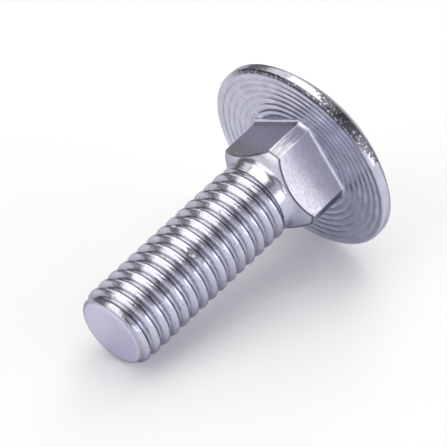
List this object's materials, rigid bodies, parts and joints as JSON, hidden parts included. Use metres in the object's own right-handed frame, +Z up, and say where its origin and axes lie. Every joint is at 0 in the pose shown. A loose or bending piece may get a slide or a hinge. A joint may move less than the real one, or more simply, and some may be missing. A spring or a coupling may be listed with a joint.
{
  "type": "carriage bolt",
  "caption": "Carriage bolt with a shallow domed head, ringed underside, square neck and fully threaded shank, lying on its rim and thread.",
  "frame": {"origin": "on the floor, under the middle of the bolt's bounding box as it lies", "axes": "+X along the floor from the tip towards the head, +Z up; the bolt's axis lies in the XZ plane, 13.8 degrees above +X towards the head"},
  "size_m": [0.0298, 0.0194, 0.0191],
  "materials": {
    "zinc": "bright zinc plate with a faint lilac tint, as formed"
  },
  "bodies": {
    "root": {"bolt": "zinc"}
  },
  "joints": []
}
